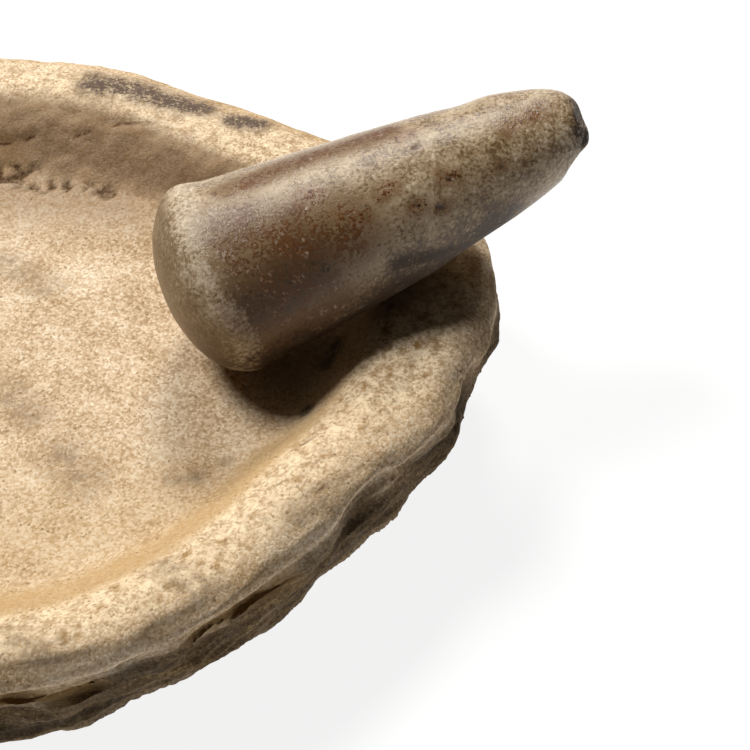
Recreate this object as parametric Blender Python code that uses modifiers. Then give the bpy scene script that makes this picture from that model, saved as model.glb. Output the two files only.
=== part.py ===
"""A worn sandstone mortar and its polished stone pestle, modelled in metres with +Z up.

The mortar is one boulder slab: a flat resting facet, steep knapped flanks, a broad rounded rim and a
shallow oval basin. The pestle is a second stone, a long blunt cone with a domed foot. It lies with the
foot on the basin's floor and its shank across the right-hand rim, and it lifts straight off.

The origin is the middle of the mortar's resting facet. +X runs along the longer side of the mortar,
towards the pestle's narrow end, and +Y runs across it, towards the steep side of the basin.
"""

import math

import bmesh
import bpy
from mathutils import Matrix, Vector, noise

MM = 0.001

# Heights of the mortar above the surface that it stands on.
RIM_HEIGHT = 66.2 * MM
BASIN_DEPTH = 21.75 * MM
BELLY_HEIGHT = 50 * MM  # where the outline is widest

# Plan of the mortar, as radii from the origin. Each tuple goes once round, anticlockwise from +X,
# in equal steps: the outer outline, the width of the rim, and the distance in to the wall's foot.
OUTLINE = (161, 168.5, 155, 140.5, 133, 134.5, 139.5, 144.5, 149.5, 156, 162, 166,
           167, 165, 159, 151, 143, 137.5, 135.5, 135.5, 134, 134, 137, 150)
RIM_WIDTH = (34, 37, 32, 31, 31, 32, 33, 30, 24, 18, 19, 24)
WALL_FOOT = (56, 58, 50, 55, 55, 56, 56, 54, 49, 45, 44, 47)

# The section of the underside and flank, from the resting facet up: (distance in from the outline,
# share of the belly's height).
FLANK_SECTION = ((36, 0), (31, 0.035), (22, 0.13), (13, 0.27), (6.5, 0.44), (2.5, 0.62), (0.6, 0.8), (0, 1))
# The rim, from the belly in to the top of the wall: (share of the rim's width, height below the rim).
RIM_SECTION = ((0.02, 9.5), (0.07, 6), (0.16, 3.2), (0.32, 1.2), (0.55, 0.2), (0.8, 0.2), (1, 1.5))
# The wall, from its top to its foot: (share of the way in, share of the basin's depth).
WALL_SECTION = ((0.25, 0.2), (0.5, 0.47), (0.75, 0.72), (1, 0.87))
# The basin's floor: (share of the foot's radius, share of the basin's depth).
FLOOR_SECTION = ((0.84, 0.94), (0.66, 0.965), (0.47, 0.98), (0.28, 0.99), (0.1, 1))
COLUMNS = 96
SHARP_ANGLE = math.radians(40)

# Unevenness of the hewn stone: how far it swells and sinks, and over what distance.
FLANK_SWELL = 2.2 * MM
TOP_SWELL = 0.7 * MM
FLANK_LUMP = 34 * MM
TOP_LUMP = 60 * MM
SWELL_SEED = 1

# Scars of flakes that were struck or weathered off the flank and the rim's edge:
# (bearing from +X in degrees, height, half length, half height, depth of the bite, tilt in degrees)
FLAKES = (
    (277, 38, 20, 5.5, 4.5, 4),
    (305, 43, 17, 5.5, 4.5, -3),
    (329, 52, 16, 11, 3.5, 12),
    (350, 50, 15, 14, 3.2, -10),
    (10, 56, 11, 11, 3, 5),
    (37, 46, 24, 16, 4, -8),
    (67, 34, 22, 12, 3.5, 7),
    (95, 57, 21, 12, 3.6, 3),
    (126, 42, 27, 16, 4.2, 9),
    (159, 55, 22, 13, 3.6, -10),
    (184, 37, 26, 14, 4, 5),
    (212, 54, 20, 13, 3.8, 10),
    (238, 38, 25, 12, 4, -7),
    (258, 58, 14, 8, 3, 8),
)
# How far a scar's ellipsoid reaches out of the stone, in depths of the bite, and the share of its width
# that it then has where it meets the surface.
FLAKE_REACH = 3
FLAKE_SHARE = math.sqrt(1 - (FLAKE_REACH / (FLAKE_REACH + 1)) ** 2)
FLAKE_SEGMENTS, FLAKE_RINGS = 20, 12

# The pestle, from its shoulder: the dome of its foot on one side and the tapering shank on the other.
SHOULDER_RADIUS = 32.2 * MM
DOME_HEIGHT = 19 * MM
SHANK_LENGTH = 128 * MM
SHANK_FULLNESS = 0.78  # exponents of the shank's long, blunt taper
SHANK_BLUNTNESS = 0.3
DOME_POINTS, SHANK_POINTS, TURN_STEPS = 9, 24, 48

# How the pestle lies: the middle of its shoulder, and its rise and bearing towards the narrow end.
SHOULDER_PLACE = Vector((72.5, 5, 77)) * MM
PESTLE_RISE = math.radians(13.5)
PESTLE_BEARING = math.radians(20)

# Small losses on the pestle's narrow end, in its own axes: (place along, across and up, radius).
CHIPS = (((126, -18, -13), 14), ((142, -7, 11), 18))
CHIP_RESOLUTION = 3


def fresh_collection(name, hidden=False):
    made = bpy.data.collections.new(name)
    bpy.context.scene.collection.children.link(made)
    made.hide_render = hidden
    return made


def stone_material(name, colour, roughness):
    """A Principled material of one plain colour, as linear RGB."""
    made = bpy.data.materials.new(name)
    made.use_nodes = True
    shader = made.node_tree.nodes["Principled BSDF"]
    shader.inputs["Base Color"].default_value = (*colour, 1)
    shader.inputs["Roughness"].default_value = roughness
    shader.inputs["Metallic"].default_value = 0
    return made


def new_object(name, mesh, collection, material=None):
    made = bpy.data.objects.new(name, mesh)
    collection.objects.link(made)
    if material:
        mesh.materials.append(material)
    return made


def mesh_from(bm, name):
    """The bmesh as a finished mesh, with its faces pointing out and its round surfaces smooth."""
    bmesh.ops.recalc_face_normals(bm, faces=bm.faces)
    mesh = bpy.data.meshes.new(name)
    bm.to_mesh(mesh)
    bm.free()
    mesh.shade_smooth()
    mesh.set_sharp_from_angle(angle=SHARP_ANGLE)
    return mesh


def around(values, turn):
    """The value at a share of a full turn, on a smooth closed curve through evenly spaced values."""
    count = len(values)
    step, part = divmod(turn % 1 * count, 1)
    before, here, after, beyond = (values[(int(step) + offset) % count] for offset in (-1, 0, 1, 2))
    bend = 2 * before - 5 * here + 4 * after - beyond
    skew = 3 * (here - after) + beyond - before
    return here + 0.5 * part * (after - before + part * (bend + part * skew))


def mortar_sections(turn):
    """The mortar's section at a share of a turn, facet to basin, as (radius, height, swell)."""
    outline = around(OUTLINE, turn) * MM
    rim = around(RIM_WIDTH, turn) * MM
    foot = around(WALL_FOOT, turn) * MM
    for inset, share in FLANK_SECTION:
        yield outline - inset * MM, share * BELLY_HEIGHT, min(1, share * 3) * FLANK_SWELL
    for share, drop in RIM_SECTION:
        swell = TOP_SWELL + (FLANK_SWELL - TOP_SWELL) * (1 - share)
        yield outline - share * rim, RIM_HEIGHT - drop * MM, swell
    for share, depth in WALL_SECTION:
        yield outline - rim - share * (foot - rim), RIM_HEIGHT - depth * BASIN_DEPTH, TOP_SWELL
    for share, depth in FLOOR_SECTION:
        yield (outline - foot) * share, RIM_HEIGHT - depth * BASIN_DEPTH, TOP_SWELL


def flank_inset(height):
    """How far in from the outline the flank is at a height, in millimetres."""
    share = height / BELLY_HEIGHT
    for (low_inset, low), (high_inset, high) in zip(FLANK_SECTION, FLANK_SECTION[1:]):
        if share <= high:
            return low_inset + (high_inset - low_inset) * (share - low) / (high - low)
    return 0


def roughened(point, swell):
    """The point moved by the stone's natural swell: broad on the top, lumpier on the flank."""
    share = (swell - TOP_SWELL) / (FLANK_SWELL - TOP_SWELL)
    lump = TOP_LUMP + (FLANK_LUMP - TOP_LUMP) * max(0, share)
    moved = noise.noise_vector(point / lump) * swell
    return point + moved


def hewn_slab(name):
    """The mortar before its flakes: rings extruded in turn from the resting facet into the basin."""
    noise.seed_set(SWELL_SEED)
    bm = bmesh.new()
    ring = bmesh.ops.create_circle(bm, segments=COLUMNS, radius=1)["verts"]
    turns = [math.atan2(v.co.y, v.co.x) / math.tau for v in ring]
    stations = list(zip(*(mortar_sections(turn) for turn in turns)))
    edges = list(bm.edges)
    bmesh.ops.contextual_create(bm, geom=edges)
    for number, station in enumerate(stations):
        if number:
            grown = bmesh.ops.extrude_edge_only(bm, edges=edges)["geom"]
            edges = [e for e in grown if isinstance(e, bmesh.types.BMEdge)]
            ring = nearest_order(grown, ring)
        for vert, turn, (radius, height, swell) in zip(ring, turns, station):
            angle = turn * math.tau
            flat = Vector((radius * math.cos(angle), radius * math.sin(angle), height))
            vert.co = roughened(flat, swell) if height else flat
    bmesh.ops.contextual_create(bm, geom=edges)
    return mesh_from(bm, name)


def nearest_order(grown, ring):
    """The extruded verts in the order of the ring that they were extruded from, which they still lie on."""
    fresh = [v for v in grown if isinstance(v, bmesh.types.BMVert)]
    return [min(fresh, key=lambda v: (v.co - old.co).length_squared) for old in ring]


def flake_cutter(number, flake, collection):
    """An ellipsoid set out from the flank, so that it takes a wide, shallow scar where the flake was."""
    bearing, height, length, rise, bite, tilt = flake
    angle = math.radians(bearing)
    radius = around(OUTLINE, bearing / 360) - flank_inset(height * MM) + FLAKE_REACH * bite
    bm = bmesh.new()
    bmesh.ops.create_uvsphere(bm, u_segments=FLAKE_SEGMENTS, v_segments=FLAKE_RINGS, radius=1)
    half = Vector(((FLAKE_REACH + 1) * bite, length / FLAKE_SHARE, rise / FLAKE_SHARE))
    place = (
        Matrix.Translation(Vector((radius * math.cos(angle), radius * math.sin(angle), height)) * MM)
        @ Matrix.Rotation(angle, 4, "Z")
        @ Matrix.Rotation(math.radians(tilt), 4, "X")
        @ Matrix.Diagonal((half * MM).to_4d())
    )
    bmesh.ops.transform(bm, matrix=place, verts=bm.verts)
    return new_object(f"flake_{number}", mesh_from(bm, f"flake_{number}"), collection)


def cut_away(target, cutters):
    """A Boolean that takes each cutter out of the target, which the cutters aren't part of."""
    for cutter in cutters:
        cutter.hide_render = True
        cutter.display_type = "WIRE"
        cut = target.modifiers.new(f"cut_{cutter.name}", "BOOLEAN")
        cut.operation = "DIFFERENCE"
        cut.solver = "EXACT"
        cut.object = cutter


def build_mortar(parts, cutters):
    material = stone_material("sandstone", (0.60, 0.47, 0.32), 0.9)
    mortar = new_object("mortar", hewn_slab("mortar"), parts, material)
    cut_away(mortar, [flake_cutter(number, flake, cutters) for number, flake in enumerate(FLAKES)])
    return mortar


def pestle_profile():
    """Half the pestle's outline as (radius, place along), from the tip of the shank to the foot's dome."""
    for number in range(SHANK_POINTS + 1):
        share = math.sin(0.5 * math.pi * (1 - number / SHANK_POINTS))
        radius = SHOULDER_RADIUS * (1 - share**SHANK_FULLNESS) ** SHANK_BLUNTNESS
        yield radius, share * SHANK_LENGTH
    for number in range(1, DOME_POINTS + 1):
        angle = 0.5 * math.pi * number / DOME_POINTS
        yield SHOULDER_RADIUS * math.cos(angle), -DOME_HEIGHT * math.sin(angle)


def turned_mesh(name):
    """The pestle's profile turned about its own Z axis with a Screw modifier, as a plain mesh."""
    outline = bpy.data.meshes.new(f"{name}_profile")
    points = [(radius, 0, along) for radius, along in pestle_profile()]
    outline.from_pydata(points, [(n, n + 1) for n in range(len(points) - 1)], [])
    turned = bpy.data.objects.new(f"{name}_profile", outline)
    bpy.context.scene.collection.objects.link(turned)
    screw = turned.modifiers.new("turn", "SCREW")
    screw.steps = screw.render_steps = TURN_STEPS
    screw.use_merge_vertices = True
    screw.merge_threshold = 0.01 * MM
    graph = bpy.context.evaluated_depsgraph_get()
    mesh = bpy.data.meshes.new_from_object(turned.evaluated_get(graph))
    bpy.data.objects.remove(turned)
    mesh.name = name
    return mesh


def build_pestle(parts, cutters):
    material = stone_material("polished_stone", (0.21, 0.155, 0.10), 0.38)
    mesh = turned_mesh("pestle")
    pestle = new_object("pestle", mesh, parts, material)
    pestle.matrix_world = (
        Matrix.Translation(SHOULDER_PLACE)
        @ Matrix.Rotation(PESTLE_BEARING, 4, "Z")
        @ Matrix.Rotation(0.5 * math.pi - PESTLE_RISE, 4, "Y")
    )
    mesh.shade_smooth()
    mesh.set_sharp_from_angle(angle=SHARP_ANGLE)
    chips = []
    for number, (place, radius) in enumerate(CHIPS):
        along, across, up = (value * MM for value in place)
        bm = bmesh.new()
        bmesh.ops.create_icosphere(bm, subdivisions=CHIP_RESOLUTION, radius=radius * MM)
        bmesh.ops.translate(bm, vec=(-up, across, along), verts=bm.verts)
        chip = new_object(f"chip_{number}", mesh_from(bm, f"chip_{number}"), cutters)
        chip.matrix_world = pestle.matrix_world
        chips.append(chip)
    cut_away(pestle, chips)
    return pestle


def main():
    for old in list(bpy.data.objects):
        bpy.data.objects.remove(old)
    parts = fresh_collection("mortar_and_pestle")
    cutters = fresh_collection("cutters", hidden=True)
    build_mortar(parts, cutters)
    build_pestle(parts, cutters)


main()
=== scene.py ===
# %% [markdown]
# # A hewn stone mortar and its polished pestle
#
# The real object is two loose stones. The mortar is a sandstone boulder, split and knapped to an oval,
# with a shallow basin that years of grinding have dished. The pestle is a second, denser stone, pecked to
# a blunt cone and polished by the hand. Nothing is painted or glazed, so the whole look is stone: how it
# broke, how it was worn, and what has soaked into it.
#
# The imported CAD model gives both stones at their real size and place. This lesson copies each one, gives
# it a fine skin, carves the weathering into that skin, and then builds the two finishes.

import math

import bpy
import numpy as np
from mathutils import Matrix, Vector, noise


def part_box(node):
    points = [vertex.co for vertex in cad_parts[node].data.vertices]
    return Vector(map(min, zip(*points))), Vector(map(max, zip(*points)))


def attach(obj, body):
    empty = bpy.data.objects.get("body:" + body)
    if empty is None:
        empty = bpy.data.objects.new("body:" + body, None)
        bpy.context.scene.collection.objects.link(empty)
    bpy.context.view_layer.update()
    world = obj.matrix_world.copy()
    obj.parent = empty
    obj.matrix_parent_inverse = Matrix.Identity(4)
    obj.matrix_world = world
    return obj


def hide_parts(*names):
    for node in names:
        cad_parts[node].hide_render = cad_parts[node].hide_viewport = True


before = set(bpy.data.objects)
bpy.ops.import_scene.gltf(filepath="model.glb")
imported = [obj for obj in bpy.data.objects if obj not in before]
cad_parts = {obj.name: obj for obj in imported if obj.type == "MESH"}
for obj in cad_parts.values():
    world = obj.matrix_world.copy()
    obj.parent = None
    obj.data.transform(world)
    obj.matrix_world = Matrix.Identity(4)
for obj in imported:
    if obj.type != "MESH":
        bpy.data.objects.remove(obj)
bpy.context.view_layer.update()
MM = 0.001

# %% [markdown]
# ## A fine skin for each stone
#
# The CAD surface is made of facets some ten millimetres wide, which is right for collision but not for
# the eye. Subdividing it would keep those facets as soft ridges. A voxel remesh lays an even net of small
# squares over the shape instead, and a smoothing pass melts the facets away, which leaves a clean skin
# that can be carved anywhere. That is how a sculptor starts, too: first the lump, then the surface.


# %% Helpers that pick a piece and apply its modifiers
def pick(piece):
    """Only this piece is selected and active, so an operator acts on nothing else."""
    bpy.ops.object.select_all(action="DESELECT")
    piece.select_set(True)
    bpy.context.view_layer.objects.active = piece


def apply_all(piece):
    """The piece's modifiers made part of its mesh, in order."""
    pick(piece)
    for modifier in list(piece.modifiers):
        bpy.ops.object.modifier_apply(modifier=modifier.name)


# %% Copy a CAD stone and give it an even skin
def skinned_copy(node, name, voxel, smoothing):
    """A copy of a CAD stone with its loose triangles merged, remeshed at a voxel size and smoothed."""
    piece = bpy.data.objects.new(name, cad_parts[node].data.copy())
    bpy.context.scene.collection.objects.link(piece)
    piece.data.materials.clear()
    pick(piece)
    bpy.ops.object.mode_set(mode="EDIT")
    bpy.ops.mesh.select_all(action="SELECT")
    bpy.ops.mesh.remove_doubles(threshold=0.01 * MM)
    bpy.ops.object.mode_set(mode="OBJECT")
    net = piece.modifiers.new("net", "REMESH")
    net.mode = "VOXEL"
    net.voxel_size = voxel
    melt = piece.modifiers.new("melt", "SMOOTH")
    melt.factor = 0.5
    melt.iterations = smoothing
    apply_all(piece)
    bpy.ops.object.shade_smooth()
    print(name, "has", len(piece.data.polygons), "faces")
    return piece


mortar = skinned_copy("mortar", "mortar_stone", 1.6 * MM, 12)
pestle = skinned_copy("pestle", "pestle_stone", 0.85 * MM, 10)


# %% [markdown]
# ## Where things are on a stone
#
# Weathering follows place: the rim is pecked and bleached, the basin is smooth, the flank is split into
# layers. So each stone needs masks. They could be drawn by hand in Weight Paint mode. Here they are
# worked out from each point's place and from the way it faces, and a few strokes add the marks that sit
# in one spot. The same masks steer both the carving and, later, the colour.


# %% Read a mesh as arrays, and write masks to it
def places(piece):
    found = np.empty(len(piece.data.vertices) * 3)
    piece.data.vertices.foreach_get("co", found)
    return found.reshape(-1, 3) / MM


def facings(piece):
    found = np.empty(len(piece.data.vertices) * 3, np.float32)
    piece.data.vertex_normals.foreach_get("vector", found)
    return found.reshape(-1, 3).astype(float)


def ramp(values, low, high):
    """0 below low, 1 above high and a smooth step between them. Low may be the larger one."""
    share = np.clip((values - low) / (high - low), 0, 1)
    return share * share * (3 - 2 * share)


def weigh(piece, name, weights, levels=50):
    """Writes a mask as a vertex group, which modifiers read, in so many levels of weight."""
    group = piece.vertex_groups.new(name=name)
    steps = np.round(np.clip(weights, 0, 1) * levels).astype(int)
    for step in range(1, levels + 1):
        group.add(np.nonzero(steps == step)[0].tolist(), step / levels, "REPLACE")


def stain(piece, name, weights):
    """Writes a mask as an attribute, which materials read."""
    layer = piece.data.attributes.new(name, "FLOAT", "POINT")
    layer.data.foreach_set("value", np.clip(weights, 0, 1).astype(np.float32))


def stroke(points, line, width):
    """A brush stroke along a line of places: 1 on the line, fading to 0 at its width."""
    nearest = np.full(len(points), 1e9)
    line = np.array(line, float)
    # A stroke of one place is a dot, so that place is both its start and its end.
    for start, end in zip(line, line[1:] if len(line) > 1 else line):
        along = end - start
        length = max(along @ along, 1e-9)
        share = np.clip((points - start) @ along / length, 0, 1)[:, None]
        nearest = np.minimum(nearest, np.linalg.norm(points - start - share * along, axis=1))
    return ramp(nearest, width, 0)


def strokes(points, *drawn):
    """Several strokes, each (width, place, place, ...), as one mask."""
    return np.max([stroke(points, line, width) for width, *line in drawn], axis=0)


def broken(points, mask, size, low, high):
    """A mask broken into ragged patches, about a size in mm: gone where a noise is below low."""
    noises = np.zeros(len(points))
    faintest = 0.02
    for index in np.nonzero(mask > faintest)[0]:
        noises[index] = noise.noise(Vector(points[index] / size))
    return mask * ramp(noises, low, high)


# %% [markdown]
# ## The mortar's flank: split layers and knapped scars
#
# Sandstone splits along its beds, so the flank of a hewn slab shows thin level ledges, and where the
# mason knocked off waste it shows shallow scoops. Weather has rounded all of it. Displace modifiers with
# cloud and cell textures carve both. The bedding's clouds are read through an empty that is squashed
# upwards, which flattens them into beds. Every carving is masked, so the basin stays smooth.

# %% Masks for the flank, the rim and the basin
stone = places(mortar)
face = facings(mortar)
height = stone[:, 2]
bearing = np.arctan2(stone[:, 1], stone[:, 0])
outward = face[:, 0] * np.cos(bearing) + face[:, 1] * np.sin(bearing)
flank = ramp(outward, 0.25, 0.8) * ramp(height, 0.5, 6)
flank = np.maximum(flank, ramp(face[:, 2], -0.1, -0.5) * ramp(height, 0.5, 4))
top = ramp(face[:, 2], 0.1, 0.6) * ramp(height, 30, 40)
rim = top * ramp(height, 58, 63.5)
basin = top * ramp(height, 60, 52)
near = ramp(stone[:, 1], -10, -45)
far = ramp(stone[:, 1], 30, 70)
for name, mask in (("flank", flank), ("rim", rim), ("basin", basin)):
    print(name, "takes", round(100 * float(mask.mean())), "% of the skin")


# %% Carve with a texture through a mask
def texture(name, kind, size, contrast=1.0, **settings):
    """A texture whose features are about a size in mm."""
    made = bpy.data.textures.new(name, kind)
    made.noise_scale = size * MM
    made.contrast = contrast
    for key, value in settings.items():
        setattr(made, key, value)
    return made


def carve(piece, name, mask, depth, pattern=None, middle=1.0, through=None):
    """Moves the masked skin along its normals: by a depth in mm all over, or as far as a texture says."""
    weigh(piece, name, mask)
    cut = piece.modifiers.new(name, "DISPLACE")
    cut.vertex_group = name
    cut.strength = depth * MM
    cut.mid_level = middle
    if pattern:
        cut.texture = pattern
        cut.texture_coords = "OBJECT" if through else "LOCAL"
        cut.texture_coords_object = through
    apply_all(piece)


beds = bpy.data.objects.new("beds", None)
bpy.context.scene.collection.objects.link(beds)
beds.scale = (1, 1, 0.14)
beds.rotation_euler = (0.05, -0.04, 0)
bpy.context.view_layer.update()

# %% Split and knap the flank
weathered = flank * (1 - 0.55 * far) * (1 - 0.65 * ramp(height, 52, 59))
bedding = texture("bedding_clouds", "CLOUDS", 34, 1.5, noise_depth=2)
knapping = texture("knapping_cells", "VORONOI", 26, 1.2)
breakage = texture("breakage_clouds", "CLOUDS", 7, 1.3, noise_depth=3)
carve(mortar, "bedding", weathered, 4.6, bedding, 0.75, beds)
carve(mortar, "knapping", weathered, -2.6, knapping, 0.3)
carve(mortar, "breakage", weathered, 1.3, breakage, 0.7)
print("the flank is carved with", bedding.name, knapping.name, "and", breakage.name)
hollows = strokes(
    stone,
    (10, (14, -137, 50), (26, -134, 50), (42, -128, 48)),
    (9, (74, -113, 52), (84, -105, 51), (97, -93, 49)),
)
carve(mortar, "hollows", hollows, -3.2, middle=0)

# %% [markdown]
# ## The mortar's top: pecked rim, worn basin
#
# A mason roughens the rim with a pointed hammer, which leaves a field of tiny dents, and grinding then
# rubs the basin almost smooth. The dents on the rim are cloud and cell textures a few millimetres wide,
# cut inwards only, so the pestle still rests clear of the rim. The basin gets broader, shallower clouds.
# Then come a few single marks: the ledge outside the far rim, hairline cracks in the far wall, and the
# row of ragged pits where that wall meets the floor, which is where grinding never reached.

# %% Peck the rim and wear the basin
carve(mortar, "pecking", rim, 0.7, texture("pecking_clouds", "CLOUDS", 5, 1.6, noise_depth=3))
carve(mortar, "dents", rim, 0.6, texture("dent_cells", "VORONOI", 9, 1.3))
wall = far * ramp(face[:, 1], -0.08, -0.42) * ramp(height, 44, 49) * (1 - flank)
carve(mortar, "wall_pecks", wall, 1.3, texture("wall_clouds", "CLOUDS", 6, 1.5, noise_depth=4))
carve(mortar, "rubbing", basin, 0.6, texture("rubbing_clouds", "CLOUDS", 11, 1.3, noise_depth=3))
print("the far wall takes", round(100 * float(wall.mean()), 1), "% of the skin")

# %% Place the single marks
far_ledge = strokes(
    stone,
    (2.6, (8, 123, 66), (26, 120, 66), (44, 114, 65), (60, 107, 65), (70, 102, 64)),
)
wall_foot = strokes(
    stone,
    (8, (-62, 92, 49), (-45, 92, 49), (-30, 90, 48), (-14, 87, 48), (0, 83, 47)),
    (5, (0, 83, 47), (12, 80, 47), (25, 77, 47)),
)
far_pits = broken(stone, ramp(wall_foot, 0, 0.6), 3.6, -0.08, 0.2)
wall_cracks = strokes(
    stone,
    (1.6, (-60, 99, 56), (-38, 97, 55), (-16, 96, 54), (-9, 97, 55), (-2, 98, 57), (10, 99, 61)),
    (1.6, (8, 95, 56), (13, 96, 59), (21, 96, 62), (28, 97, 64), (36, 96, 65), (48, 95, 65)),
)
wall_cracks = broken(stone, wall_cracks, 9, -0.25, 0.05)
near_scores = strokes(
    stone,
    (1.6, (99, -51, 63), (106, -46, 65)),
    (1.5, (91, -68, 65), (96, -65, 65)),
    (1.8, (104, -70, 65), (108, -67, 65)),
)
cracks = np.maximum(wall_cracks, near_scores)
carve(mortar, "ledge", far_ledge, -0.6, middle=0)
carve(mortar, "wall_foot_pits", far_pits, -1.0, middle=0)
carve(mortar, "cracks", cracks, -0.5, middle=0)
bpy.data.objects.remove(beds)
print("the mortar now has", len(mortar.data.polygons), "faces")

# %% [markdown]
# ## Colour masks for the mortar
#
# Stone is stained where it is touched. Rubbed rims bleach, the slope below the near rim has taken an
# ochre polish, soot and grease have left grey streaks on the far rim, and the flank, which nobody cleans,
# has gone dark and olive. Some masks also carry painted shade: the far wall, which faces away from the
# skylight, the hollow along its foot, the pestle's shadow on the right rim, two grey dots in the shaded
# corner under the pestle, and part of the flank's darkness, on the sides and underside away from the
# light. These masks are only where each stain may be: the material breaks them up with grain.

# %% Paint the mortar's stains and painted shade
grime = strokes(
    stone,
    (11, (17, 117, 67), (31, 114, 67), (44, 109, 66), (57, 105, 65)),
    (8, (70, 98, 65), (79, 95, 65)),
    # These two dots sit in the shaded corner under the pestle: partly dark spots, partly painted shade.
    (5, (106, -6, 49), (109, 2, 50)),
    (4, (100, -28, 50), (101, -27, 50)),
)
haze = strokes(
    stone,
    (13, (22, -41, 45), (32, -51, 45)),
    (12, (2, -16, 45), (10, -24, 45)),
    (11, (-9, 44, 45), (7, 33, 45)),
    (5, (58, -51, 46), (67, -51, 47)),
    (4, (75, -45, 47), (76, -45, 47)),
    (9, (62, -95, 65), (73, -103, 65)),
    (9, (100, -78, 65), (112, -70, 65)),
    (10, (20, -118, 65), (34, -124, 65)),
)
slope = ramp(height, 45, 52) * ramp(height, 65, 59) * (1 - flank)
ochre = np.maximum(slope * near, hollows)
ochre = np.maximum(ochre, 0.3 * top * near * ramp(height, 56, 62))
ochre = np.maximum(ochre, strokes(stone, (14, (-40, 94, 52), (-14, 94, 52))))
ochre = np.maximum(ochre, 0.5 * strokes(stone, (52, (-20, -70, 46), (30, -78, 46), (66, -66, 47))))
ochre = np.maximum(ochre, 0.5 * far * ramp(outward, 0.2, 0.45) * ramp(height, 52, 58))
# Painted shade: the far wall that faces away from the skylight, and the hollow along its foot.
smoke = np.maximum(wall, 0.8 * strokes(stone, (36, (-70, 86, 46), (-20, 84, 46), (40, 74, 46))))
smoke = np.maximum(smoke, strokes(stone, (11, (-75, 93, 50), (-40, 92, 49), (-8, 87, 48))))
# Painted shadow: where the pestle's shadow falls on the right rim.
smoke = np.maximum(smoke, strokes(stone, (27, (90, -8, 52), (112, 6, 58), (134, 18, 63))))
pale = rim * ramp(outward, 0.3, 0.05) * (1 - 0.3 * far)
# Partly patina, partly painted shade: the outward flank, away from the light, darker towards the bottom.
patina = np.maximum(ramp(outward, 0.6, 0.95), ramp(height, 30, 12)) * ramp(height, 58, 47)
for name, mask in (
    ("grime", grime),
    ("haze", haze),
    ("smoke", smoke),
    ("ochre", ochre),
    ("pale", pale),
    ("patina", patina),
    ("crack", np.maximum.reduce([wall_cracks, 0.8 * near_scores, 0.6 * far_ledge])),
    ("pit", far_pits),
):
    stain(mortar, name, mask)
print("mortar stains:", ", ".join(layer.name for layer in mortar.data.attributes if layer.name.islower()))

# %% [markdown]
# ## The pestle: a cone that hands have worn
#
# The pestle isn't quite round. Its shoulder is crisp above and rubbed away below, and the narrow end is
# blunter on top. Broad, soft strokes swell or sink the skin by about a millimetre to give it that, in
# the pestle's own measures: how far along from the shoulder, and how far round from the top.

# %% The pestle's own axes, and places on it
SHOULDER = np.array((72.5, 5, 77))
RISE, TURN = math.radians(13.5), math.radians(20)
ALONG = np.array((math.cos(RISE) * math.cos(TURN), math.cos(RISE) * math.sin(TURN), math.sin(RISE)))
ACROSS = np.array((-math.sin(TURN), math.cos(TURN), 0))
UP = np.cross(ALONG, ACROSS)
SHANK, THICKEST = 128, 32.2


def on_pestle(along, degrees, radius=None):
    """A place on the pestle, from its distance along and its angle round from the top, towards the back."""
    if radius is None:
        # The profile of the blunt cone: nearly straight, then rounding over at the narrow end.
        radius = THICKEST * (1 - max(0, min(along, SHANK - 1) / SHANK) ** 0.78) ** 0.3
    angle = math.radians(degrees)
    return SHOULDER + along * ALONG + radius * (math.cos(angle) * UP + math.sin(angle) * ACROSS)


# %% Swell, rub and dimple the pestle
skin = places(pestle)
for name, amount, mask in (
    ("crisp_shoulder", 1.1, strokes(skin, (11, on_pestle(-2, 55), on_pestle(-3, 20)))),
    ("rubbed_shoulder", -0.9, strokes(skin, (16, on_pestle(-6, -85, 29), on_pestle(-6, -115, 29)))),
    ("blunt_end", 1.3, strokes(skin, (15, on_pestle(104, 50), on_pestle(122, 45)))),
    ("full_belly", 0.8, strokes(skin, (22, on_pestle(30, -125), on_pestle(60, -125)))),
):
    carve(pestle, name, mask, amount, middle=0)
everywhere = np.ones(len(skin))
carve(pestle, "hand_wear", everywhere, 0.6, texture("hand_clouds", "CLOUDS", 16, 1.0, noise_depth=3))

skin = places(pestle)
pits = strokes(
    skin,
    (1.9, on_pestle(71, -60), on_pestle(72, -61)),
    (1.2, on_pestle(77, -42), on_pestle(77.5, -43)),
    (1.1, on_pestle(65, -52), on_pestle(65.5, -52)),
    (1.0, on_pestle(71, -10), on_pestle(73, -9)),
    (1.0, on_pestle(94, -52), on_pestle(94.5, -52)),
    (2.4, on_pestle(123, -84), on_pestle(126, -70, 8)),
)
carve(pestle, "pits", pits, -0.5, middle=0)
print("the pestle now has", len(pestle.data.polygons), "faces")

# %% Paint the pestle's stains and painted shade
side, crown = (skin - SHOULDER) @ ACROSS, (skin - SHOULDER) @ UP
length = (skin - SHOULDER) @ ALONG
turned = np.degrees(np.arctan2(side, crown))
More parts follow.
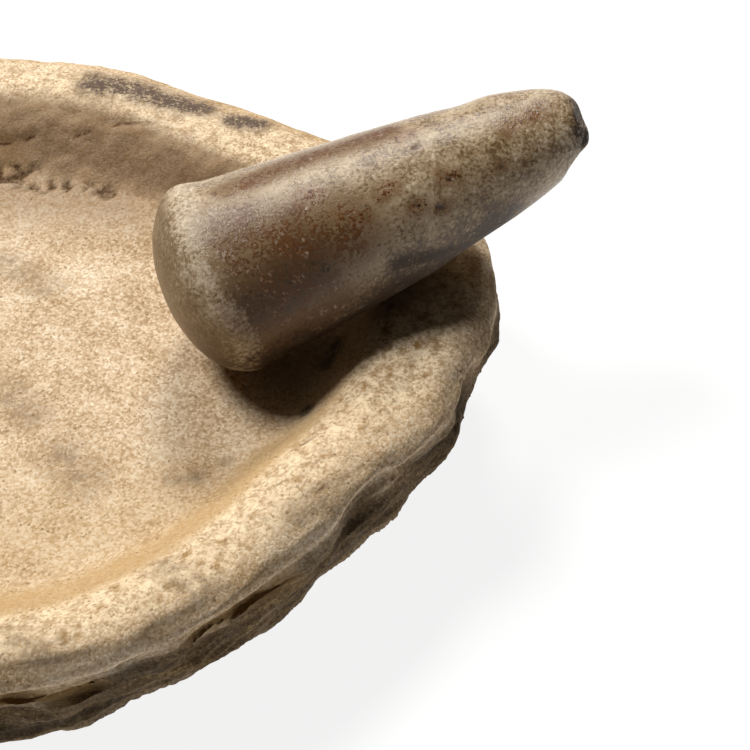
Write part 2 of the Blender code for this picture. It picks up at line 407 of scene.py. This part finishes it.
# Worn white: a wavy ring round the shoulder, a softer patch beyond it, and the narrow end.
worn = ramp(np.abs(length + 2.5 - 2.5 * np.sin(turned / 17)), 9.5, 1.0)
worn = np.maximum(worn, 0.5 * ramp(length, -4, 2) * ramp(length, 34, 4) * ramp(np.abs(turned + 50), 75, 20))
worn = np.maximum(worn, 0.7 * ramp(length, 84, 116))
rust = strokes(
    skin,
    (22, on_pestle(12, -24), on_pestle(15, -55)),
    (22, on_pestle(22, -38), on_pestle(38, -46)),
    (20, on_pestle(9, -72), on_pestle(26, -74)),
    (9, on_pestle(14, 10), on_pestle(40, 18), on_pestle(66, 20)),
)
specks = strokes(
    skin,
    (4.6, on_pestle(64, -52), on_pestle(66, -53)),
    (5.0, on_pestle(76, -40), on_pestle(79, -44)),
    (3.6, on_pestle(94, -52), on_pestle(95, -51)),
    (4.2, on_pestle(46, -43), on_pestle(49, -43)),
    (3.6, on_pestle(41, -37), on_pestle(41.5, -37)),
    (5.0, on_pestle(56, -34), on_pestle(60, -32)),
    (4.0, on_pestle(69, 4), on_pestle(72, 6)),
    (4.0, on_pestle(71, -60), on_pestle(73, -61)),
    (6.5, on_pestle(102, -18), on_pestle(116, -6)),
    (4.5, on_pestle(34, -14), on_pestle(38, -16)),
)
# Painted shade: faint beside the shoulder's lower side, deep along the underside and at the chipped tip.
dusk = 0.55 * strokes(skin, (16, on_pestle(6, -66), on_pestle(26, -60)))
deep_pestle_shade = strokes(
    skin,
    (7, on_pestle(53, -87), on_pestle(75, -108)),
    (22, on_pestle(-4, -118), on_pestle(40, -120), on_pestle(86, -118)),
    (9, on_pestle(124, -60), on_pestle(127, -10), on_pestle(126, -100)),
)
for name, mask in (
    ("worn", worn),
    ("rust", rust),
    ("specks", specks),
    ("dusk", np.maximum(dusk, deep_pestle_shade)),
    ("pit", pits),
    ("dome", ramp(length, -3, -9)),
):
    stain(pestle, name, mask)
print("pestle from", round(float(length.min()), 1), "to", round(float(length.max()), 1), "mm along")


# %% [markdown]
# ## A way to write materials
#
# A material is a small tree of nodes. One function adds a node, sets it up and links it, so that each
# material below reads from the stone outwards: its grain, its beds and blotches, then its stains, and
# last how it meets the light. Sizes are given in millimetres and turned to texture scales. A mixture,
# such as two parts of one noise and one of another, is a chain of Math nodes that multiply and add.


# %% Helpers for the materials
def linear(hex_colour):
    """A colour picked as sRGB hex, as the linear values that a shader needs."""
    channels = [int(hex_colour[i : i + 2], 16) / 255 for i in (1, 3, 5)]
    return (*[c / 12.92 if c <= 0.04045 else ((c + 0.055) / 1.055) ** 2.4 for c in channels], 1)


def node(tree, kind, inputs=(), out=0, stops=(), **settings):
    """Adds a node with its settings, colour stops and inputs, which are values or sockets: one output."""
    made = tree.nodes.new("ShaderNode" + kind)
    for key, value in settings.items():
        setattr(made, key, value)
    for place, hex_colour in stops:
        made.color_ramp.elements.new(place).color = linear(hex_colour)
    for spare in (0, -1) if stops else ():
        made.color_ramp.elements.remove(made.color_ramp.elements[spare])
    for key, value in dict(inputs).items():
        if isinstance(value, bpy.types.NodeSocket):
            tree.links.new(value, made.inputs[key])
        else:
            made.inputs[key].default_value = value
    return made.outputs[out] if made.outputs else None


def per(size):
    """The scale of a pattern whose features are about a size in mm."""
    return 1 / (size * MM)


def new_material(name):
    """A new material and its empty tree of nodes."""
    made = bpy.data.materials.new(name)
    made.use_nodes = True
    made.node_tree.nodes.clear()
    return made, made.node_tree


# A Mix node has sockets for numbers, vectors and colours. These are the ones for laying a colour over
# another: how much of it, the colour below, the colour on top, and the output.
SHARE, BELOW, ABOVE, MIXED = 0, 6, 7, 2


# %% [markdown]
# ## Finish of the mortar: weathered fine-grained sandstone
#
# Sandstone is quartz grains, each well under a millimetre, in an iron-stained cement. Broken faces are
# matt and sparkle only faintly, so its roughness is near 0.9. Up close it is cream, tan and brown grains
# side by side, so the colour comes from a cell pattern that gives each grain its own tone. The grains are
# drawn a little coarser than real ones, at 0.8 mm, because finer ones would blur to one flat colour.
# Clouds of 4, 15 and 60 mm then gather the grains into clumps, blotches and broad changes of tone.

# %% Sandstone: grain, clumps and blotches
sandstone, tree = new_material("weathered_sandstone")
where = node(tree, "TexCoord", out="Object")
grain = node(tree, "TexVoronoi", {"Vector": where, "Scale": per(0.8)}, out="Distance")
tone = node(tree, "SeparateColor", {"Color": grain.node.outputs["Color"]})
fleck = node(tree, "TexNoise", {"Vector": where, "Scale": per(1.1), "Detail": 3, "Roughness": 0.7})
clump = node(tree, "TexNoise", {"Vector": where, "Scale": per(4), "Detail": 5, "Roughness": 0.65})
blotch = node(tree, "TexNoise", {"Vector": where, "Scale": per(15), "Detail": 5, "Roughness": 0.6})
drift = node(tree, "TexNoise", {"Vector": where, "Scale": per(60), "Detail": 3})
masks = {
    name: node(tree, "Attribute", out="Fac", attribute_name=name)
    for name in ("grime", "haze", "smoke", "ochre", "pale", "patina", "crack", "pit")
}

# %% Sandstone: the colours of clean stone
# On the rim the clumps differ more than in the rubbed basin, so there they swing the tone further.
swing = node(tree, "Math", {0: masks["pale"], 1: 0.56, 2: 0.14}, operation="MULTIPLY_ADD")
centred = node(tree, "Math", {0: clump, 1: 0.5}, operation="SUBTRACT")
level = node(tree, "Math", {0: centred, 1: swing}, operation="MULTIPLY")
for source, weight in ((tone, 0.27), (fleck, 0.44), (blotch, 0.42), (drift, 0.35), (1.0, -0.265)):
    level = node(tree, "Math", {0: source, 1: weight, 2: level}, operation="MULTIPLY_ADD")
stops = ((0.10, "#75593a"), (0.34, "#a68b68"), (0.52, "#c9b193"), (0.68, "#dfceb4"), (0.90, "#f4ecdb"))
coloured = node(tree, "ValToRGB", {"Fac": level}, stops=stops)
print("sandstone has", len(tree.nodes), "nodes so far")

# %% [markdown]
# Each stain is a layer over the clean stone: how strong it is, from its mask and the noises that break it
# up, and its colour. The rim's are dirt between its dents and bruised pale grains on top of them. Then
# come the ochre polish, the painted shade of the far wall and of the pestle's shadow, the haze, and the
# grey soot, which in two dots under the pestle is painted shade too, and what lies in cracks and pits.
# Last, about one grain in twenty is a dark mineral: each cell of the grain draws a number, and only high
# ones pass.

# %% Sandstone: the stains and painted shade, one over another
for name, start, mixture, colour in (
    ("pale", -4.00, ((blotch, 2.4), (clump, 5.4)), "#8d6b3c"),
    ("pale", 1.40, ((blotch, -1.2), (clump, -4.4), (fleck, 3.4)), "#ecd8b6"),
    ("ochre", -0.18, ((blotch, 1.0), (fleck, 0.6)), "#ab8954"),
    # Painted shade in smoky brown: the far wall, the hollow at its foot and the pestle's shadow on the rim.
    ("smoke", 0.12, ((blotch, 0.7), (fleck, 0.6)), "#775c3e"),
    ("haze", -1.45, ((clump, 2.2), (fleck, 1.6)), "#85725a"),
    # Grey grime: real streaks on the far rim, and partly painted shade in two dots under the pestle.
    ("grime", -2.75, ((clump, 3.2), (fleck, 4.6)), "#594a3f"),
    ("crack", -1.60, ((masks["crack"], 2.4), (fleck, 1.5)), "#5a3f26"),
    ("pit", -1.30, ((clump, 2.4), (fleck, 1.9)), "#452e15"),
):
    share = start
    for source, weight in mixture:
        share = node(tree, "Math", {0: source, 1: weight, 2: share}, operation="MULTIPLY_ADD")
    share = node(tree, "Math", {0: share, 1: masks[name]}, operation="MULTIPLY", use_clamp=True)
    layer = {SHARE: share, BELOW: coloured, ABOVE: linear(colour)}
    coloured = node(tree, "Mix", layer, out=MIXED, data_type="RGBA")

drawn = {0: tone.node.outputs["Green"], 1: 22.0, 2: -21.0}
speck = node(tree, "Math", drawn, operation="MULTIPLY_ADD", use_clamp=True)
share = node(tree, "Math", {0: speck, 1: 0.55}, operation="MULTIPLY")
layer = {SHARE: share, BELOW: coloured, ABOVE: linear("#6f5639")}
coloured = node(tree, "Mix", layer, out=MIXED, data_type="RGBA")
print("with its stains, sandstone has", len(tree.nodes), "nodes")

# %% [markdown]
# The flank has never been rubbed. Its beds are brown and olive by turns, with dirt in every hollow, and
# grains of clean quartz catch the light on the ledges. Its colours are also darker than the stone's own,
# as painted shade, since the flank faces outwards and away from the light. The same grain runs through
# it, so it stays one stone with the rim.

# %% Sandstone: the dark flank, partly painted shade
flat_beds = node(tree, "Mapping", {"Vector": where, "Rotation": (0.05, -0.04, 0), "Scale": (1, 1, 7)})
bed = node(tree, "TexNoise", {"Vector": flat_beds, "Scale": per(30), "Detail": 5, "Roughness": 0.62})
level = -0.66
for source, weight in ((bed, 1.1), (fleck, 0.7), (tone, 0.22), (clump, 0.3)):
    level = node(tree, "Math", {0: source, 1: weight, 2: level}, operation="MULTIPLY_ADD")
# Dark stops: the flank's patina, deepened as painted shade.
stops = ((0.10, "#2c2015"), (0.38, "#493823"), (0.62, "#6c5535"), (0.90, "#9c8459"))
aged_and_shaded = node(tree, "ValToRGB", {"Fac": level}, stops=stops)
share = node(tree, "Math", {0: masks["ochre"], 1: 0.7}, operation="MULTIPLY")
layer = {SHARE: share, BELOW: aged_and_shaded, ABOVE: linear("#7d5d2e")}
aged_and_shaded = node(tree, "Mix", layer, out=MIXED, data_type="RGBA")
share = node(tree, "Math", {0: masks["patina"], 1: 0.95}, operation="MULTIPLY")
layer = {SHARE: share, BELOW: coloured, ABOVE: aged_and_shaded}
coloured = node(tree, "Mix", layer, out=MIXED, data_type="RGBA")
print("the flank goes from", stops[0][1], "to", stops[-1][1])

# %% Sandstone: relief of the grain, and the shader
ledges = node(tree, "Math", {0: bed, 1: masks["patina"]}, operation="MULTIPLY")
relief = node(tree, "Math", {0: clump, 1: swing}, operation="MULTIPLY")
for source, weight in ((grain, -0.20), (fleck, 0.36), (ledges, 2.4)):
    relief = node(tree, "Math", {0: source, 1: weight, 2: relief}, operation="MULTIPLY_ADD")
bump = node(tree, "Bump", {"Height": relief, "Strength": 0.75, "Distance": 0.75 * MM})
look = {
    "Base Color": coloured,
    "Roughness": 0.92,
    "IOR": 1.5,
    "Specular IOR Level": 0.3,
    "Normal": bump,
}
node(tree, "OutputMaterial", {"Surface": node(tree, "BsdfPrincipled", look)})
mortar.data.materials.append(sandstone)
print("sandstone has", len(tree.nodes), "nodes")

# %% [markdown]
# ## Finish of the pestle: river stone polished by the hand
#
# The pestle is a dense, fine stone, olive-grey and brown in clouds. Pecking shaped it, and skin, grain
# and grease polished it until it gleams like wax: roughness about 0.3, with a soft highlight. The
# shoulder, which strikes the mortar, has gone white and matt. Iron has bled rusty freckles into it, and
# pale bits of quartz and hairline scratches show all over. The underside and the tip are painted
# darker, as painted shade.

# %% Pestle stone: clouds of colour
polished, tree = new_material("hand_polished_stone")
where = node(tree, "TexCoord", out="Object")
cloud = node(tree, "TexNoise", {"Vector": where, "Scale": per(30), "Detail": 4, "Roughness": 0.55})
mottle = node(tree, "TexNoise", {"Vector": where, "Scale": per(7), "Detail": 6, "Roughness": 0.68})
fleck = node(tree, "TexNoise", {"Vector": where, "Scale": per(1.2), "Detail": 4, "Roughness": 0.7})
crystal = node(tree, "TexVoronoi", {"Vector": where, "Scale": per(0.9)}, out="Distance")
chance = node(tree, "SeparateColor", {"Color": crystal.node.outputs["Color"]})
masks = {
    name: node(tree, "Attribute", out="Fac", attribute_name=name)
    for name in ("worn", "rust", "specks", "dusk", "pit", "dome")
}
level = -0.98
for source, weight in (
    (cloud, 0.60),
    (mottle, 0.95),
    (fleck, 1.45),
    # Painted shade: darker along the underside and at the tip.
    (masks["dusk"], -0.55),
    (masks["worn"], 0.12),
):
    level = node(tree, "Math", {0: source, 1: weight, 2: level}, operation="MULTIPLY_ADD")
stops = ((0.06, "#3d2c1b"), (0.34, "#745d41"), (0.58, "#a08a6c"), (0.92, "#c6b498"))
coloured = node(tree, "ValToRGB", {"Fac": level}, stops=stops)
print("the pestle goes from", stops[0][1], "to", stops[-1][1])

# %% [markdown]
# The single grains are cells again. Each cell draws three numbers. A high first one makes it white quartz,
# a high second one an iron freckle, and a high third one a bright crystal. Where the stone is worn, more
# cells pass, which makes the grainy white band round the shoulder. The hairlines are where a warped noise
# crosses one level.

# %% Pestle stone: where quartz, iron and hairlines lie
passed = node(tree, "Math", {0: masks["worn"], 1: 0.30, 2: -1.07}, operation="MULTIPLY_ADD")
passed = node(tree, "Math", {0: fleck, 1: 0.95, 2: passed}, operation="MULTIPLY_ADD")
passed = node(tree, "Math", {0: mottle, 1: 0.60, 2: passed}, operation="MULTIPLY_ADD")
passed = node(tree, "Math", {0: chance, 1: 0.18, 2: passed}, operation="MULTIPLY_ADD")
quartz = node(tree, "Math", {0: passed, 1: 3.2}, operation="MULTIPLY", use_clamp=True)
drawn = {0: chance.node.outputs["Green"], 1: 14.0, 2: -13.0}
unlucky = node(tree, "Math", drawn, operation="MULTIPLY_ADD", use_clamp=True)
iron = node(tree, "Math", {0: mottle, 1: 4.0, 2: -1.7}, operation="MULTIPLY_ADD", use_clamp=True)
iron = node(tree, "Math", {0: unlucky, 1: iron}, operation="MULTIPLY")
drawn = {0: chance.node.outputs["Blue"], 1: 16.0, 2: -14.9}
sparkle = node(tree, "Math", drawn, operation="MULTIPLY_ADD", use_clamp=True)
patchy = node(tree, "Math", {0: mottle, 1: 8.0, 2: -3.8}, operation="MULTIPLY_ADD", use_clamp=True)
sparkle = node(tree, "Math", {0: sparkle, 1: patchy}, operation="MULTIPLY")
warped = node(tree, "TexNoise", {"Vector": where, "Scale": per(11), "Detail": 1, "Distortion": 1.4})
hair = node(tree, "Math", {0: warped, 1: 0.5}, operation="SUBTRACT")
hair = node(tree, "Math", {0: hair}, operation="ABSOLUTE")
hair = node(tree, "Math", {0: hair, 1: -120.0, 2: 1.0}, operation="MULTIPLY_ADD", use_clamp=True)
broken_up = node(tree, "Math", {0: mottle, 1: 6.0, 2: -3.0}, operation="MULTIPLY_ADD", use_clamp=True)
hair = node(tree, "Math", {0: hair, 1: broken_up}, operation="MULTIPLY")
print("pestle stone has", len(tree.nodes), "nodes so far")

# %% Pestle stone: rust, freckles, wear and scratches
for strength, start, mixture, colour in (
    (masks["rust"], -5.25, ((mottle, 5.0), (fleck, 7.3)), "#56361b"),
    (masks["rust"], -5.90, ((mottle, 4.0), (fleck, 7.4)), "#704926"),
    (masks["specks"], -4.20, ((fleck, 9.5),), "#70431f"),
    (masks["specks"], -6.50, ((fleck, 12.0),), "#2c190c"),
    (0.75, 0.0, ((iron, 1.0),), "#3c2413"),
    (masks["dome"], 0.50, (), "#6d5a3f"),
    (0.62, 0.0, ((quartz, 1.0),), "#d6c8b2"),
    (0.32, 0.0, ((sparkle, 1.0),), "#e3d6c2"),
    (0.40, 0.0, ((hair, 1.0),), "#d9cdbc"),
    (masks["pit"], 0.85, (), "#241409"),
):
    share = start
    for source, weight in mixture:
        share = node(tree, "Math", {0: source, 1: weight, 2: share}, operation="MULTIPLY_ADD")
    share = node(tree, "Math", {0: share, 1: strength}, operation="MULTIPLY", use_clamp=True)
    layer = {SHARE: share, BELOW: coloured, ABOVE: linear(colour)}
    coloured = node(tree, "Mix", layer, out=MIXED, data_type="RGBA")

# %% Pestle stone: waxy shader with a matt shoulder
gloss = 0.03
for source, weight in (
    (mottle, 0.30),
    (fleck, 0.22),
    (quartz, 0.25),
    (masks["dome"], 0.12),
    (masks["dusk"], 0.40),
    (masks["pit"], 0.30),
):
    gloss = node(tree, "Math", {0: source, 1: weight, 2: gloss}, operation="MULTIPLY_ADD")
relief = node(tree, "Math", {0: fleck, 1: 1.0}, operation="MULTIPLY")
for source, weight in ((mottle, 0.7), (quartz, 0.15), (iron, -0.3), (hair, -0.1)):
    relief = node(tree, "Math", {0: source, 1: weight, 2: relief}, operation="MULTIPLY_ADD")
bump = node(tree, "Bump", {"Height": relief, "Strength": 0.6, "Distance": 0.4 * MM})
look = {
    "Base Color": coloured,
    "Roughness": gloss,
    "IOR": 1.54,
    "Specular IOR Level": 0.36,
    "Normal": bump,
}
node(tree, "OutputMaterial", {"Surface": node(tree, "BsdfPrincipled", look)})
pestle.data.materials.append(polished)
print("pestle stone has", len(tree.nodes), "nodes")

# %% [markdown]
# ## Joining the looks to the model
#
# Each finished stone stands for its CAD node and rides on that node's body, so the pestle lifts out of
# the basin when its joint moves. Where carving pushed points outwards, a stone is drawn in by that
# little, so that it keeps inside the size that the model states.


# %% Keep a stone inside its CAD box, and hand it over
def draw_in(piece, node_name):
    """Shrinks a piece about its middle, only as far as it stands out of its CAD node's box."""
    low, high = (np.array(corner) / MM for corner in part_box(node_name))
    points = places(piece)
    for axis in range(3):
        middle = 0.5 * (low[axis] + high[axis])
        half = np.abs(points[:, axis] - middle).max()
        shrink = min(1, 0.5 * (high[axis] - low[axis]) / half)
        points[:, axis] = middle + (points[:, axis] - middle) * shrink
    piece.data.vertices.foreach_set("co", (points * MM).ravel())
    piece.data.update()


for piece, name, finish in ((mortar, "mortar", "sandstone"), (pestle, "pestle", "polished_stone")):
    draw_in(piece, name)
    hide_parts(name)
    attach(piece, name)
    print(piece.name, "stands for", name)

# %% [markdown]
# ## Floor, light and camera
#
# A soft skylight high on the left does most of the work: it lights the basin and sets the shadows. A
# weaker window behind draws the long highlight down the pestle. A dim, warm room fills the
# shadows a little, while the backdrop that the camera sees past the floor is plain white. The floor is a
# white sheet that glows softly, as on a light table, so it stays pale.

# %% White sheet
bpy.ops.object.select_all(action="DESELECT")
bpy.ops.mesh.primitive_plane_add(size=40, location=(0, 0, -0.2 * MM))
floor = bpy.context.active_object
floor.name = "white_sheet"
paper, tree = new_material("white_paper")
glow = node(tree, "Emission", {"Color": (1, 1, 1, 1), "Strength": 0.87})
matt = node(tree, "BsdfDiffuse", {"Color": (0.14, 0.14, 0.14, 1)})
node(tree, "OutputMaterial", {"Surface": node(tree, "AddShader", {0: glow, 1: matt})})
floor.data.materials.append(paper)
print(floor.name, "is", floor.dimensions.x, "m wide, so its edge is out of sight")

# %% Window light and room light
LIT_PLACE, LAMP_DISTANCE = Vector((0.05, 0, 0.05)), 1.7
for name, toward, size, energy in (
    ("skylight", (-0.44, 0.20, 0.87), 0.54, 28.5),
    ("far_window", (0.03, 0.66, 0.75), 0.46, 21),
):
    lamp = bpy.data.lights.new(name, "AREA")
    lamp.shape = "DISK"
    lamp.size = size
    lamp.energy = energy
    lamp.color = (1.0, 0.985, 0.96)
    holder = bpy.data.objects.new(name, lamp)
    bpy.context.scene.collection.objects.link(holder)
    toward = Vector(toward).normalized()
    holder.location = LIT_PLACE + toward * LAMP_DISTANCE
    holder.rotation_euler = (-toward).to_track_quat("-Z", "Y").to_euler()
    print(name, "gives", energy, "W from", LAMP_DISTANCE, "m away")

room = bpy.data.worlds.new("dim_room")
bpy.context.scene.world = room
room.use_nodes = True
tree = room.node_tree
tree.nodes.clear()
dim = node(tree, "Background", {"Color": (1.0, 0.9, 0.78, 1), "Strength": 0.035})
white = node(tree, "Background", {"Color": (1, 1, 1, 1), "Strength": 0.95})
seen = node(tree, "LightPath", out="Is Camera Ray")
node(tree, "OutputWorld", {"Surface": node(tree, "MixShader", {0: seen, 1: dim, 2: white})})
bpy.context.scene.view_settings.view_transform = "Standard"

# %% Camera, fifty degrees above the table
lens = bpy.data.cameras.new("camera")
lens.lens = 72
lens.sensor_width = 36
lens.clip_start = 0.01
camera = bpy.data.objects.new("camera", lens)
bpy.context.scene.collection.objects.link(camera)
camera.location = (0.122, -0.327, 0.425)
camera.rotation_euler = (math.radians(40), 0, 0)
bpy.context.scene.camera = camera
print("camera at", [round(v / MM) for v in camera.location], "mm")
